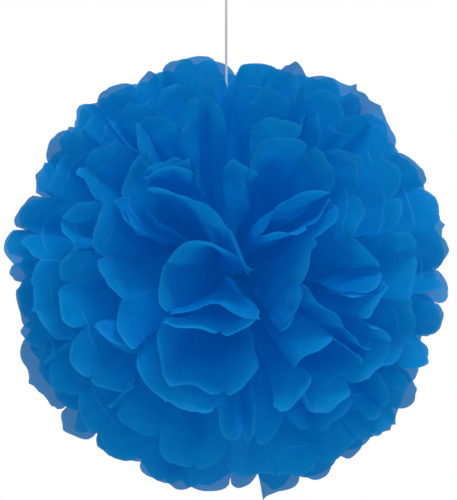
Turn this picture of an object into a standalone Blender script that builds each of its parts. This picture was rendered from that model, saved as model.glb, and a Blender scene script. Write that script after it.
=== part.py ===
"""Tissue paper pom pom, fluffed open and hung on its string.

Ten sheets of tissue are pleated together, cut round at both ends, tied at the middle with wire
and pulled apart. Five open towards the front and five towards the back. Metres, +Z up, front -Y.
"""
import math

import bmesh
import bpy
import numpy as np

# Sizes of the paper
BALL_RADIUS = 0.206
SHEET_WIDTH = 0.762
PANELS = 16
SCALLOP_DEPTH = 0.013
SCALLOP_POWER = 2.4
LOBE_PLACES = (0.17, 0.5, 0.83)
PAPER_WALL = 0.0003

# The gathered neck inside the wire
NECK_HEIGHT = 0.009
NECK_STEP = 0.0010
NECK_HALF_LENGTH = 0.0022
NECK_STAGGER = 0.0006

# Tie wire
WIRE_RADIUS = 0.0006
WIRE_LOOP = 0.0064
WIRE_TAIL = 0.016
WIRE_TWISTS = 3

# String, its knots and its loop
CENTRE_DROP = 0.290
STRING_RADIUS = 0.0012
KNOT_RADIUS = 0.0022
LOOP_HEIGHT = 0.024
LOOP_WIDTH = 0.014
LOOP_FULLNESS = 1.3
PIECE_GAP = 0.0003

# How the flower faces, in degrees
TURN_RIGHT = 5.0
TURN_UP = 2.5

# The paper sags a little, so petals reach further below the tie than above it
SAG_SHARE = 0.03
LEAN_SHARE = 0.01

# Hand cutting leaves each petal up to this much short
TRIM_SHARE = 0.03
TRIM_SEED = 5

# Each sheet's fan in degrees from the flower's axis: reach along the parting, reach across it,
# how far the parting is shifted at its top, middle and bottom, and how soft its folds are
FRONT_FANS = [
    (27.0, 13.0, -10.0, 2.5, 9.0, 0.12),
    (40.0, 35.0, 1.0, 0.0, 7.0, 0.05),
    (55.0, 52.0, 1.0, 0.0, 1.0, 0.02),
    (70.0, 68.0, -7.0, 0.0, -6.0, 0.02),
    (84.0, 84.0, 0.0, 0.0, 6.0, 0.02),
]
BACK_FANS = [
    (26.0, 12.0, 7.0, 2.0, -6.0, 0.12),
    (40.0, 35.0, -4.0, 0.0, 5.0, 0.05),
    (55.0, 52.0, 3.0, 0.0, -4.0, 0.02),
    (70.0, 68.0, -6.0, 0.0, 6.0, 0.02),
    (84.0, 84.0, 5.0, 0.0, -5.0, 0.02),
]
FRONT_SEED = 30
BACK_SEED = 9
PARTING = 1.2
INNER_PARTING = 3.0
EQUATOR_LIMIT = 86.5
SHEET_CLEARANCE = 5.6
FOLD_CLEARANCE = 3.2
GROW_STEPS = 480
GROW_STAGES = 12

# Distance from the neck of each ring of points, as a share of the strip's half length; the two
# innermost sheets fold so tightly that they have one more
ROW_SHARES = (0.38, 0.74)
INNER_ROW_SHARES = (0.2, 0.38, 0.74)

# Half a panel's width as seen from the tie, in radians
LINK = round(math.asin(min(0.95, SHEET_WIDTH / PANELS / 2 / BALL_RADIUS)), 7)

for old in list(bpy.data.objects):
    bpy.data.objects.remove(old, do_unlink=True)

part_collection = bpy.data.collections.new("tissue_pom_pom")
bpy.context.scene.collection.children.link(part_collection)


def material(name, colour, roughness, metallic=0.0):
    made = bpy.data.materials.new(name)
    made.use_nodes = True
    shader = made.node_tree.nodes["Principled BSDF"]
    shader.inputs["Base Color"].default_value = (*colour, 1.0)
    shader.inputs["Roughness"].default_value = roughness
    shader.inputs["Metallic"].default_value = metallic
    return made


PAPER = material("blue_tissue_paper", (0.0, 0.13, 0.40), 0.85)
STRING = material("white_string", (0.72, 0.74, 0.77), 0.8)
WIRE = material("brown_tie_wire", (0.10, 0.06, 0.04), 0.45, 0.6)


def unit(vectors):
    return vectors / np.linalg.norm(vectors, axis=-1, keepdims=True)


def start_curve(fan, side, innermost, count):
    """One half sheet's rim before it ruffles: a smooth arc on the unit sphere about the axis."""
    reach, across, top, middle, bottom, _ = fan
    parting = INNER_PARTING if innermost else PARTING
    t = np.linspace(0.0, 1.0, 20 * count)
    bulge = parting + (across - parting) * np.sin(np.pi * t) ** 0.8
    shift = top + (bottom - top) * t + (middle - (top + bottom) / 2) * np.sin(np.pi * t)
    x = np.radians(shift + side * bulge)
    z = np.radians(reach * np.cos(np.pi * t))
    angle = np.hypot(x, z)
    scale = np.sin(angle) / np.maximum(angle, 1e-9)
    curve = np.stack([x * scale, z * scale, np.cos(angle)], -1)
    steps = np.linalg.norm(np.diff(curve, axis=0), axis=1)
    along = np.concatenate([[0.0], np.cumsum(steps)])
    want = np.linspace(0.0, along[-1], count)
    return unit(np.stack([np.interp(want, along, curve[:, k]) for k in range(3)], -1))


def near_pairs(points, clearance):
    """Pairs of points that may touch soon, and how far apart each pair has to stay."""
    far = np.linalg.norm(points[:, None] - points[None], axis=2)
    first, second = np.nonzero(np.triu((far < clearance + 0.06) & (clearance > 0), 1))
    return first, second, clearance[first, second]


def ruffle(fans, seed):
    """Let the rims grow to the paper's full width without crossing, and keep the stages.

    Every stage holds unit directions: half sheet, point along the rim, x y z. Even points are
    fold lines and odd points are the middles of the panels between them.
    """
    rng = np.random.default_rng(seed)
    count = 2 * PANELS + 1
    rims = np.array(
        [
            start_curve(fan, side, number == 0, count)
            for number, fan in enumerate(fans)
            for side in (-1, 1)
        ]
    )
    halves = len(rims)
    start_link = np.linalg.norm(np.diff(rims, axis=1), axis=2).mean(1)
    ends = rims[:, [0, -1]].copy()
    owner = np.repeat(np.arange(halves), count)
    place = np.tile(np.arange(count), halves)
    same = owner[:, None] == owner[None]
    close = np.abs(place[:, None] - place[None]) <= 3
    clearance = np.where(same, math.radians(FOLD_CLEARANCE), math.radians(SHEET_CLEARANCE))
    clearance = np.where(same & close, 0.0, clearance)
    is_fold = np.arange(count) % 2 == 0
    turn = np.where(np.arange(count) // 2 % 2 == 0, 1.0, -1.0)
    push = rng.uniform(0.2, 1.6, (halves, count)) * is_fold * turn * 0.0009
    softness = np.repeat([fan[5] for fan in fans], 2)[:, None, None]
    stiffness = np.where(is_fold[None, 1:-1, None], softness, 0.35)
    rims = unit(rims + rng.normal(0, 0.004, rims.shape) * np.array([1.0, 1.0, 0.0]))
    limit = math.radians(EQUATOR_LIMIT)
    stages = [rims.copy()]
    for step in range(GROW_STEPS):
        grown = min(1.0, (step + 1) / (GROW_STEPS * 0.8))
        link = (start_link + (LINK - start_link) * grown)[:, None, None]
        along = np.empty_like(rims)
        along[:, 1:-1] = rims[:, 2:] - rims[:, :-2]
        along[:, 0] = rims[:, 1] - rims[:, 0]
        along[:, -1] = rims[:, -1] - rims[:, -2]
        rims = rims + np.cross(rims, unit(along)) * push[..., None]
        bend = (0.5 * (rims[:, 2:] + rims[:, :-2]) - rims[:, 1:-1]) * stiffness
        rims[:, 1:-1] += bend
        rims[:, 2:] -= bend / 2
        rims[:, :-2] -= bend / 2
        flat = rims.reshape(-1, 3)
        if step % 15 == 0:
            first, second, keep = near_pairs(flat, clearance)
        apart = flat[first] - flat[second]
        far = np.linalg.norm(apart, axis=1) + 1e-9
        shove = apart * (np.clip(keep - far, 0.0, None) * 0.35 / far)[:, None]
        moved = np.zeros_like(flat)
        np.add.at(moved, first, shove)
        np.add.at(moved, second, -shove)
        size = np.linalg.norm(moved, axis=1, keepdims=True)
        moved *= np.minimum(1.0, 0.012 / (size + 1e-12))
        rims = rims + moved.reshape(rims.shape)
        rims[:, [0, -1]] += 0.3 * (ends - rims[:, [0, -1]])
        for _ in range(4):
            for offset in (0, 1):
                a = rims[:, offset:-1:2]
                b = rims[:, offset + 1 :: 2]
                used = min(a.shape[1], b.shape[1])
                reach = b[:, :used] - a[:, :used]
                long = np.linalg.norm(reach, axis=2, keepdims=True)
                fix = reach / long * (long - link) * 0.5
                rims[:, offset:-1:2][:, :used] += fix
                rims[:, offset + 1 :: 2][:, :used] -= fix
        rims = unit(rims)
        over = np.arccos(np.clip(rims[..., 2], -1.0, 1.0)) > limit
        held = unit(rims[..., :2]) * math.sin(limit)
        held = np.concatenate([held, np.full(held.shape[:2] + (1,), math.cos(limit))], -1)
        rims = np.round(np.where(over[..., None], held, rims), 7)
        if (step + 1) % (GROW_STEPS // GROW_STAGES) == 0:
            stages.append(rims.copy())
    return np.array(stages)


def stage_at(stages, share):
    """The directions at a share of the way out, where the ruffles grow with the distance."""
    place = (len(stages) - 1) * min(1.0, 0.25 + 0.95 * share)
    low = min(int(place), len(stages) - 2)
    part = place - low
    return unit(stages[low] * (1.0 - part) + stages[low + 1] * part)


def across_panel(points, u):
    """A place between fold lines: the fold, the panel's middle and the next fold in one curve."""
    panel = min(int(u), PANELS - 1)
    v = u - panel
    a, b, c = points[2 * panel], points[2 * panel + 1], points[2 * panel + 2]
    return a * (1 - v) * (1 - 2 * v) + b * 4 * v * (1 - v) + c * v * (2 * v - 1)


def tip_share(u, trims):
    """How far out the cut edge lies: each pleat's end is cut round, a little short or full."""
    panel = min(int(u), PANELS - 1)
    v = u - panel
    round_off = (1.0 - min(1.0, abs(2 * v - 1)) ** SCALLOP_POWER) ** (1 / SCALLOP_POWER)
    before = trims[max(panel - 1, 0)] if v < 0.5 else trims[min(panel + 1, PANELS - 1)]
    side = abs(2 * v - 1) / 2
    trim = trims[panel] * (1.0 - side) + before * side
    return (1.0 - SCALLOP_DEPTH / BALL_RADIUS * (1.0 - round_off)) * (1.0 - trim)


def fan_point(stages, half, neck, u, share):
    """A point of the fan at panel place u and at a share of the way out from the neck."""
    way = across_panel(stage_at(stages, share)[half], u)
    start = np.array([neck[0], NECK_HEIGHT * (0.5 - u / PANELS), neck[1]])
    reach = share * (BALL_RADIUS - NECK_HEIGHT / 2)
    return start + way * reach * (1.0 + LEAN_SHARE * way[0] - SAG_SHARE * way[1])


def zip_rows(faces, row_a, ua, row_b, ub):
    """Triangles between two rows of points that run the same way along the sheet."""
    i = 0
    j = 0
    while i < len(ua) - 1 or j < len(ub) - 1:
        step_a = ua[i + 1] if i < len(ua) - 1 else math.inf
        step_b = ub[j + 1] if j < len(ub) - 1 else math.inf
        if step_a <= step_b:
            faces.append((row_a[i], row_b[j], row_a[i + 1]))
            i += 1
        else:
            faces.append((row_a[i], row_b[j], row_b[j + 1]))
            j += 1


def axis_frame():
    """Right, up and outward directions of the flower in the world."""
    yaw = math.radians(TURN_RIGHT)
    pitch = math.radians(TURN_UP)
    right = np.array([math.cos(yaw), math.sin(yaw), 0.0])
    level = np.array([math.sin(yaw), -math.cos(yaw), 0.0])
    out = level * math.cos(pitch) + np.array([0.0, 0.0, math.sin(pitch)])
    up = -level * math.sin(pitch) + np.array([0.0, 0.0, math.cos(pitch)])
    return np.array([right, up, out])


FRAME = axis_frame()
KNOT_HEIGHT = WIRE_LOOP + WIRE_RADIUS + PIECE_GAP + KNOT_RADIUS
CENTRE = np.array([0.0, 0.0, -CENTRE_DROP]) - FRAME[1] * np.array([1.0, 1.0, 0.0]) * KNOT_HEIGHT


def to_world(points):
    return np.asarray(points) @ FRAME + CENTRE


def add_mesh(name, points, faces, surface):
    mesh = bpy.data.meshes.new(name)
    mesh.from_pydata([tuple(p) for p in points], [], faces)
    mesh.materials.append(surface)
    made = bpy.data.objects.new(name, mesh)
    part_collection.objects.link(made)
    return made


def add_sheet(name, stages, layer, facing):
    """One sheet: two fans that meet in the neck, thickened to a closed solid."""
    depth = facing * NECK_STEP * (len(FRONT_FANS) - layer - 0.5)
    whole = [float(i) for i in range(PANELS + 1)]
    split = [i / 2 for i in range(2 * PANELS + 1)]
    lobes = sorted(whole + [i + v for i in range(PANELS) for v in LOBE_PLACES])
    points = []
    faces = []
    necks = []
    for side in (-1, 1):
        half = 2 * layer + (0 if side < 0 else 1)
        neck = (side * (NECK_HALF_LENGTH + NECK_STAGGER * layer), abs(depth))
        rows = [(whole, [0.0] * len(whole))]
        inner_rows = INNER_ROW_SHARES if layer == 0 else ROW_SHARES
        rows += [(whole if share < 0.5 else split, share) for share in inner_rows]
        trims = np.random.default_rng(TRIM_SEED + half).uniform(0.0, TRIM_SHARE, PANELS)
        rows.append((lobes, [tip_share(u, trims) for u in lobes]))
        earlier = None
        for us, shares in rows:
            if isinstance(shares, float):
                shares = [shares] * len(us)
            first = len(points)
            points += [fan_point(stages, half, neck, u, share) for u, share in zip(us, shares)]
            row = list(range(first, len(points)))
            if earlier is None:
                necks.append(row)
            else:
                zip_rows(faces, earlier[0], earlier[1], row, us)
            earlier = (row, us)
    zip_rows(faces, necks[0], whole, necks[1], whole)
    points = np.array(points)
    points[:, 2] *= facing
    made = add_mesh(name, to_world(points), faces, PAPER)
    tidy_normals(made)
    made.data.polygons.foreach_set("use_smooth", [True] * len(made.data.polygons))
    wall = made.modifiers.new("paper_wall", "SOLIDIFY")
    wall.thickness = PAPER_WALL
    wall.offset = 0.0
    wall.use_even_offset = False
    return made


def tidy_normals(made):
    """Make neighbouring faces of the open sheet agree on which side is out."""
    work = bmesh.new()
    work.from_mesh(made.data)
    bmesh.ops.recalc_face_normals(work, faces=work.faces)
    work.to_mesh(made.data)
    work.free()


def add_tube(name, path, radius, surface, sides):
    """A round tube with flat closed ends along a path."""
    path = np.asarray(path, float)
    along = np.gradient(path, axis=0)
    along = unit(along)
    guide = np.array([1.0, 0.0, 0.0]) if abs(along[0][0]) < 0.9 else np.array([0.0, 1.0, 0.0])
    points = []
    faces = []
    for number, (spot, way) in enumerate(zip(path, along)):
        guide = guide - way * guide.dot(way)
        guide = guide / np.linalg.norm(guide)
        other = np.cross(way, guide)
        for k in range(sides):
            angle = 2 * math.pi * k / sides
            points.append(spot + radius * (math.cos(angle) * guide + math.sin(angle) * other))
            if number:
                a = (number - 1) * sides + k
                b = (number - 1) * sides + (k + 1) % sides
                faces.append((a, b, b + sides, a + sides))
    faces.append(tuple(reversed(range(sides))))
    last = (len(path) - 1) * sides
    faces.append(tuple(range(last, last + sides)))
    made = add_mesh(name, points, faces, surface)
    made.data.polygons.foreach_set("use_smooth", [True] * len(made.data.polygons))
    return made


def add_knot(name, centre, radius, surface):
    mesh = bpy.data.meshes.new(name)
    work = bmesh.new()
    bmesh.ops.create_uvsphere(work, u_segments=10, v_segments=6, radius=radius)
    bmesh.ops.translate(work, verts=work.verts, vec=tuple(centre))
    work.to_mesh(mesh)
    work.free()
    mesh.materials.append(surface)
    made = bpy.data.objects.new(name, mesh)
    part_collection.objects.link(made)
    made.data.polygons.foreach_set("use_smooth", [True] * len(made.data.polygons))
    return made


def tie_wire_path():
    """Both ends twisted into a tail in front, and the loop round the neck between them."""
    turn_radius = WIRE_RADIUS + PIECE_GAP
    steps = 7 * WIRE_TWISTS
    start = WIRE_LOOP + 0.0012
    tail = []
    for i in range(steps + 1):
        share = i / steps
        angle = 2 * math.pi * WIRE_TWISTS * share
        tail.append((share * WIRE_TAIL + start, angle))
    path = []
    for out, angle in reversed(tail):
        path.append((turn_radius * math.sin(angle), turn_radius * math.cos(angle), out))
    for i in range(1, 16):
        angle = 2 * math.pi * i / 16
        x = math.sin(angle)
        z = math.cos(angle)
        size = WIRE_LOOP / (x**4 + z**4) ** 0.25
        path.append((0.0, size * x, size * z))
    for out, angle in tail:
        path.append((-turn_radius * math.sin(angle), -turn_radius * math.cos(angle), out))
    return to_world(path)


front = ruffle(FRONT_FANS, FRONT_SEED)
back = ruffle(BACK_FANS, BACK_SEED)
for layer in range(len(FRONT_FANS)):
    add_sheet(f"tissue_sheet_front_{layer + 1}", front, layer, 1)
for layer in range(len(BACK_FANS)):
    add_sheet(f"tissue_sheet_back_{layer + 1}", back, layer, -1)

add_tube("tie_wire", tie_wire_path(), WIRE_RADIUS, WIRE, 5)

knot_spot = to_world([0.0, KNOT_HEIGHT, 0.0])
add_knot("string_knot", knot_spot, KNOT_RADIUS, STRING)

loop_base = -LOOP_HEIGHT
loop_knot_z = loop_base - KNOT_RADIUS
add_knot("loop_knot", (0.0, 0.0, loop_knot_z), KNOT_RADIUS, STRING)

string_low = knot_spot[2] + KNOT_RADIUS + PIECE_GAP
string_high = loop_knot_z - KNOT_RADIUS - PIECE_GAP
string_count = 2 + int((string_high - string_low) / (6 * STRING_RADIUS))
string_line = bpy.data.curves.new("hanging_string", "CURVE")
string_line.dimensions = "3D"
string_line.bevel_depth = STRING_RADIUS
string_line.bevel_resolution = 2
string_line.use_fill_caps = True
spline = string_line.splines.new("POLY")
spline.points.add(string_count - 1)
for i in range(string_count):
    height = string_low + (string_high - string_low) * i / (string_count - 1)
    spline.points[i].co = (0.0, 0.0, height, 1.0)
string_line.materials.append(STRING)
string_object = bpy.data.objects.new("hanging_string", string_line)
part_collection.objects.link(string_object)

loop_path = []
for i in range(21):
    turn = math.pi * i / 20
    wide = LOOP_WIDTH / 2 * LOOP_FULLNESS * math.sin(2 * turn) * math.sin(turn)
    apart = (STRING_RADIUS + PIECE_GAP / 2) * math.cos(turn)
    height = loop_base + LOOP_HEIGHT * math.sin(turn) ** 2
    loop_path.append((-wide - apart, 0.0, height))
add_tube("hanging_loop", loop_path, STRING_RADIUS, STRING, 6)
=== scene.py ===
"""Looks of the tissue paper pom pom: ten thin pleated sheets, a wire tie and a white string.

Every sheet is one continuous grid of paper, from the cut tips on one side through the tie to the
tips on the other. It follows the solids of the frame and adds what thin tissue does: soft folds,
curled tips, a wavy cut edge, fine creases and light that comes through. Metres, +Z up.
"""
import math

import bpy
import numpy as np
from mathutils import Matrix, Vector


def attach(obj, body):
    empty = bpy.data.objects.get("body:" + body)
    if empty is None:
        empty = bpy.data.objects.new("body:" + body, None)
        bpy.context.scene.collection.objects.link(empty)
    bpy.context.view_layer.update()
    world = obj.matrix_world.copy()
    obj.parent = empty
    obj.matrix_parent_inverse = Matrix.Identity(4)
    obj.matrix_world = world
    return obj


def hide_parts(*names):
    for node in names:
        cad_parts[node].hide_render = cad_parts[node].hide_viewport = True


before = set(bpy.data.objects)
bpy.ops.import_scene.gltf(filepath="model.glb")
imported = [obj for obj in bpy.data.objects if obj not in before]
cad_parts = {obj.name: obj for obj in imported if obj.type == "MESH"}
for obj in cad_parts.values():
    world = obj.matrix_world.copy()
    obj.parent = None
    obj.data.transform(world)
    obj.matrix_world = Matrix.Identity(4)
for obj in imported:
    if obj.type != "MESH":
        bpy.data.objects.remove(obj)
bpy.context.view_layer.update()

# Sizes of the paper
BALL_RADIUS = 0.206
SHEET_WIDTH = 0.762
PANELS = 16

# How the pleats' ends are cut: a round lobe to each panel, some of them shallow, short or leaning,
# with an uncut corner, a ragged stretch or a torn bit here and there
SCALLOP_DEPTH = 0.013
LOBE_DEPTHS = (0.8, 1.9)
LOBE_POWERS = (1.5, 2.6)
LOBE_SKEW = 0.35
CORNER_CHANCE = 0.07
CORNER_DEPTH = -0.35
SHORT_LOBES = 0.055
RAGGED_EDGE = 0.0011
RAGGED_PLACES = 9
RAGGED_RANGE = (-0.4, 1.0)
TORN_CHANCE = 0.05
TORN_BITS = (-3.0, 4.5)

# Hand cutting leaves each petal up to this much short
TRIM_SHARE = 0.03
TRIM_SEED = 5

# Beside the parting the top petals are cut back, and the halves of the widest sheets slide past
# each other: from the top down to the tie, and low down between the tie and the tips
PARTING_NOTCH = 0.12
PARTING_NOTCH_WIDTH = 0.35
TOP_OVERLAP = 0.012
TOP_CLOSED_BY = 0.15
LOW_OVERLAP = 0.009
LOW_CLOSED_BY = 0.02
LOW_OPENS = (0.4, 0.85)
PARTING_LIFT = 0.004

# The gathered neck inside the wire
NECK_HEIGHT = 0.009
NECK_STEP = 0.0010
NECK_HALF_LENGTH = 0.0022
NECK_STAGGER = 0.0006

# Tie wire
WIRE_RADIUS = 0.0006
WIRE_LOOP = 0.0064
WIRE_TAIL = 0.016
WIRE_TAIL_START = 0.0012
WIRE_TWISTS = 3
WIRE_TWIST_POINTS = 24
WIRE_LOOP_POINTS = 40
WIRE_SQUARENESS = 4
WIRE_RINGS = 260
WIRE_SIDES = 10

# String, its knots and its loop
CENTRE_DROP = 0.290
STRING_RADIUS = 0.0012
KNOT_RADIUS = 0.0022
LOOP_HEIGHT = 0.024
LOOP_WIDTH = 0.014
LOOP_FULLNESS = 1.3
LOOP_POINTS = 60
ROUTE_SPACING = 6 * STRING_RADIUS
PIECE_GAP = 0.0003

# The plies of the string, and the thinner strand that its knots are wound from
PLY_COUNT = 3
PLY_RADIUS = 0.00060
PLY_LAY = 0.00060
PLY_SIDES = 8
TURN_LENGTH = 0.0075
STRING_RINGS = 700
LOOP_TURNS = 8
LOOP_RINGS = 240
KNOT_STRAND = 0.00085
KNOT_PLY = 0.55 * KNOT_STRAND
KNOT_LAY = 0.45 * KNOT_STRAND
KNOT_SPREAD = 0.38
KNOT_POINTS = 80
KNOT_TURNS = 9
KNOT_RINGS = 240

# How the flower faces, in degrees
TURN_RIGHT = 5.0
TURN_UP = 2.5

# The paper sags a little, so petals reach further below the tie than above it
SAG_SHARE = 0.03
LEAN_SHARE = 0.01

# Each sheet's fan in degrees from the flower's axis, as the solids have it: reach along the
# parting, reach across it, how far the parting is shifted at its top, middle and bottom, and how
# soft the folds are
FRONT_FANS = [
    (27.0, 13.0, -10.0, 2.5, 9.0, 0.12),
    (40.0, 35.0, 1.0, 0.0, 7.0, 0.05),
    (55.0, 52.0, 1.0, 0.0, 1.0, 0.02),
    (70.0, 68.0, -7.0, 0.0, -6.0, 0.02),
    (84.0, 84.0, 0.0, 0.0, 6.0, 0.02),
]
BACK_FANS = [
    (26.0, 12.0, 7.0, 2.0, -6.0, 0.12),
    (40.0, 35.0, -4.0, 0.0, 5.0, 0.05),
    (55.0, 52.0, 3.0, 0.0, -4.0, 0.02),
    (70.0, 68.0, -6.0, 0.0, 6.0, 0.02),
    (84.0, 84.0, 5.0, 0.0, -5.0, 0.02),
]
FRONT_SEED = 30
BACK_SEED = 9

# Width of the parting, how near the ball's equator the paper may come, and how far sheets and
# folds keep from each other, all in degrees
PARTING = 1.2
INNER_PARTING = 3.0
EQUATOR_LIMIT = 86.5
SHEET_CLEARANCE = 5.6
FOLD_CLEARANCE = 3.2

# How the rims grow: their number of steps and stages, the share of the steps after which they have
# their full width, the first pushes, how points that come too near each other give way, and the
# digits kept at each step, so that every run is the same
GROW_STEPS = 480
GROW_STAGES = 12
GROWN_AT = 0.8
START_FINENESS = 20
START_ROUNDNESS = 0.8
START_JITTER = 0.004
FOLD_PUSH = 0.0009
FOLD_PUSH_RANGE = (0.2, 1.6)
PANEL_STIFFNESS = 0.35
SAME_FOLD_POINTS = 3
SEARCH_EVERY = 15
SEARCH_MARGIN = 0.06
CONTACT_PUSH = 0.35
LARGEST_PUSH = 0.012
END_PULL = 0.3
LINK_ROUNDS = 4
DIGITS = 7

# Half a panel's width as seen from the tie, in radians
LINK = round(math.asin(min(0.95, SHEET_WIDTH / PANELS / 2 / BALL_RADIUS)), DIGITS)

# Share of the growth that the paper has by the neck, and what it gains on the way to the tips
FIRST_STAGE = 0.25
STAGE_RISE = 0.95

# Grid of a sheet: columns to a panel, and rows from the neck to the cut tip
PANEL_COLUMNS = 14
HALF_ROWS = 52

# What the thin paper does that the solids leave out: creased panels, curled tips, rolled corners,
# a wavy edge, a swell over the whole petal and a ripple of the pleats. Where each starts and ends
# is a share of the way from the neck to the cut tip, and each length of a wave is in metres
CREASE_SHARE = 0.42
TIP_CURL = 0.008
CURL_START = 0.70
CURL_POWER = 1.5
CURL_RANGE = (-0.6, 1.0)
CORNER_ROLL = 0.004
CORNER_POWER = 3
EDGE_WAVE = 0.0014
EDGE_WAVE_START = 0.72
EDGE_WAVE_COUNT = 6
EDGE_WAVE_LENGTHS = (0.022, 0.05)
BODY_WAVE = 0.0022
BODY_WAVE_RISE = (0.15, 0.7)
BODY_WAVE_COUNT = 7
BODY_WAVE_LENGTHS = (0.03, 0.10)
PLEAT_RIPPLE = 0.0012
RIPPLE_RISE = (0.02, 0.12)
RIPPLE_FADE = (0.45, 0.95)
RIPPLE_RANGE = (0.2, 1.6)
# Where the painted highlight along the cut edge begins
CUT_EDGE_START = 0.975
LOOKS_SEED = 11

# The photograph's frame and where the ball's middle falls in it
IMAGE_WIDTH = 457
IMAGE_HEIGHT = 500
BALL_MIDDLE_ROW = 274
VIEW_WIDTH = 0.4155
VIEW_DISTANCE = 2.4
VIEW_MIDDLE = (0.002, 0.0, -0.296)
VIEW_END = 50.0
SENSOR = 36.0

# Studio: the floor, a dome that is darker low down, and each light's name, place, size and power
FLOOR_HEIGHT = -1.05
FLOOR_SIZE = 6.0
SKY_ABOVE = 0.49
SKY_BELOW = 0.05
DOME_FOOT = -0.5
DOME_TOP = 0.9
LIGHTS = [
    ("soft_key", (0.4, -1.4, 1.6), 0.7, 20.5),
    ("soft_front", (0.4, -2.6, 0.5), 1.0, 8.0),
    ("soft_back", (0.4, 2.0, 0.6), 1.6, 7.0),
]


def unit(vectors):
    return vectors / np.linalg.norm(vectors, axis=-1, keepdims=True)


def smooth_step(low, high, values):
    share = np.clip((values - low) / (high - low), 0.0, 1.0)
    return share * share * (3.0 - 2.0 * share)


# Growth of the ruffles, the same as in the solids

def start_curve(fan, side, innermost, count):
    """One half sheet's rim before it ruffles: a smooth arc on the unit sphere about the axis."""
    reach, across, top, middle, bottom, _ = fan
    parting = INNER_PARTING if innermost else PARTING
    part = np.linspace(0.0, 1.0, START_FINENESS * count)
    bulge = parting + (across - parting) * np.sin(np.pi * part) ** START_ROUNDNESS
    shift = top + (bottom - top) * part + (middle - (top + bottom) / 2) * np.sin(np.pi * part)
    x = np.radians(shift + side * bulge)
    z = np.radians(reach * np.cos(np.pi * part))
    angle = np.hypot(x, z)
    scale = np.sin(angle) / np.maximum(angle, 1e-9)
    curve = np.stack([x * scale, z * scale, np.cos(angle)], -1)
    steps = np.linalg.norm(np.diff(curve, axis=0), axis=1)
    along = np.concatenate([[0.0], np.cumsum(steps)])
    want = np.linspace(0.0, along[-1], count)
    return unit(np.stack([np.interp(want, along, curve[:, k]) for k in range(3)], -1))


def near_pairs(points, clearance):
    """Pairs of points that may touch soon, and how far apart each pair has to stay."""
    far = np.linalg.norm(points[:, None] - points[None], axis=2)
    near = (far < clearance + SEARCH_MARGIN) & (clearance > 0)
    first, second = np.nonzero(np.triu(near, 1))
    return first, second, clearance[first, second]


def ruffle(fans, seed):
    """Let the rims grow to the paper's full width without crossing, and keep the stages.

    Every stage holds unit directions: half sheet, point along the rim, x y z. Even points are
    fold lines and odd points are the middles of the panels between them.
    """
    rng = np.random.default_rng(seed)
    count = 2 * PANELS + 1
    rims = np.array(
        [
            start_curve(fan, side, number == 0, count)
            for number, fan in enumerate(fans)
            for side in (-1, 1)
        ]
    )
    halves = len(rims)
    start_link = np.linalg.norm(np.diff(rims, axis=1), axis=2).mean(1)
    ends = rims[:, [0, -1]].copy()
    owner = np.repeat(np.arange(halves), count)
    place = np.tile(np.arange(count), halves)
    same = owner[:, None] == owner[None]
    close = np.abs(place[:, None] - place[None]) <= SAME_FOLD_POINTS
    clearance = np.where(same, math.radians(FOLD_CLEARANCE), math.radians(SHEET_CLEARANCE))
    clearance = np.where(same & close, 0.0, clearance)
    is_fold = np.arange(count) % 2 == 0
    turn = np.where(np.arange(count) // 2 % 2 == 0, 1.0, -1.0)
    push = rng.uniform(*FOLD_PUSH_RANGE, (halves, count)) * is_fold * turn * FOLD_PUSH
    softness = np.repeat([fan[-1] for fan in fans], 2)[:, None, None]
    stiffness = np.where(is_fold[None, 1:-1, None], softness, PANEL_STIFFNESS)
    rims = unit(rims + rng.normal(0, START_JITTER, rims.shape) * np.array([1.0, 1.0, 0.0]))
    limit = math.radians(EQUATOR_LIMIT)
    stages = [rims.copy()]
    for step in range(GROW_STEPS):
        grown = min(1.0, (step + 1) / (GROW_STEPS * GROWN_AT))
        link = (start_link + (LINK - start_link) * grown)[:, None, None]
        along = np.empty_like(rims)
        along[:, 1:-1] = rims[:, 2:] - rims[:, :-2]
        along[:, 0] = rims[:, 1] - rims[:, 0]
        along[:, -1] = rims[:, -1] - rims[:, -2]
        rims = rims + np.cross(rims, unit(along)) * push[..., None]
        bend = (0.5 * (rims[:, 2:] + rims[:, :-2]) - rims[:, 1:-1]) * stiffness
        rims[:, 1:-1] += bend
        rims[:, 2:] -= bend / 2
        rims[:, :-2] -= bend / 2
        flat = rims.reshape(-1, 3)
        if step % SEARCH_EVERY == 0:
            first, second, keep = near_pairs(flat, clearance)
        apart = flat[first] - flat[second]
        far = np.linalg.norm(apart, axis=1) + 1e-9
        shove = apart * (np.clip(keep - far, 0.0, None) * CONTACT_PUSH / far)[:, None]
        moved = np.zeros_like(flat)
        np.add.at(moved, first, shove)
        np.add.at(moved, second, -shove)
        size = np.linalg.norm(moved, axis=1, keepdims=True)
        moved *= np.minimum(1.0, LARGEST_PUSH / (size + 1e-12))
        rims = rims + moved.reshape(rims.shape)
        rims[:, [0, -1]] += END_PULL * (ends - rims[:, [0, -1]])
        for _ in range(LINK_ROUNDS):
            for offset in (0, 1):
                left = rims[:, offset:-1:2]
                right = rims[:, offset + 1 :: 2]
                used = min(left.shape[1], right.shape[1])
                reach = right[:, :used] - left[:, :used]
                long = np.linalg.norm(reach, axis=2, keepdims=True)
                fix = reach / long * (long - link) * 0.5
                rims[:, offset:-1:2][:, :used] += fix
                rims[:, offset + 1 :: 2][:, :used] -= fix
        rims = unit(rims)
        over = np.arccos(np.clip(rims[..., 2], -1.0, 1.0)) > limit
        held = unit(rims[..., :2]) * math.sin(limit)
        held = np.concatenate([held, np.full(held.shape[:2] + (1,), math.cos(limit))], -1)
        rims = np.round(np.where(over[..., None], held, rims), DIGITS)
        if (step + 1) % (GROW_STEPS // GROW_STAGES) == 0:
            stages.append(rims.copy())
    return np.array(stages)


# Frame of the flower

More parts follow.
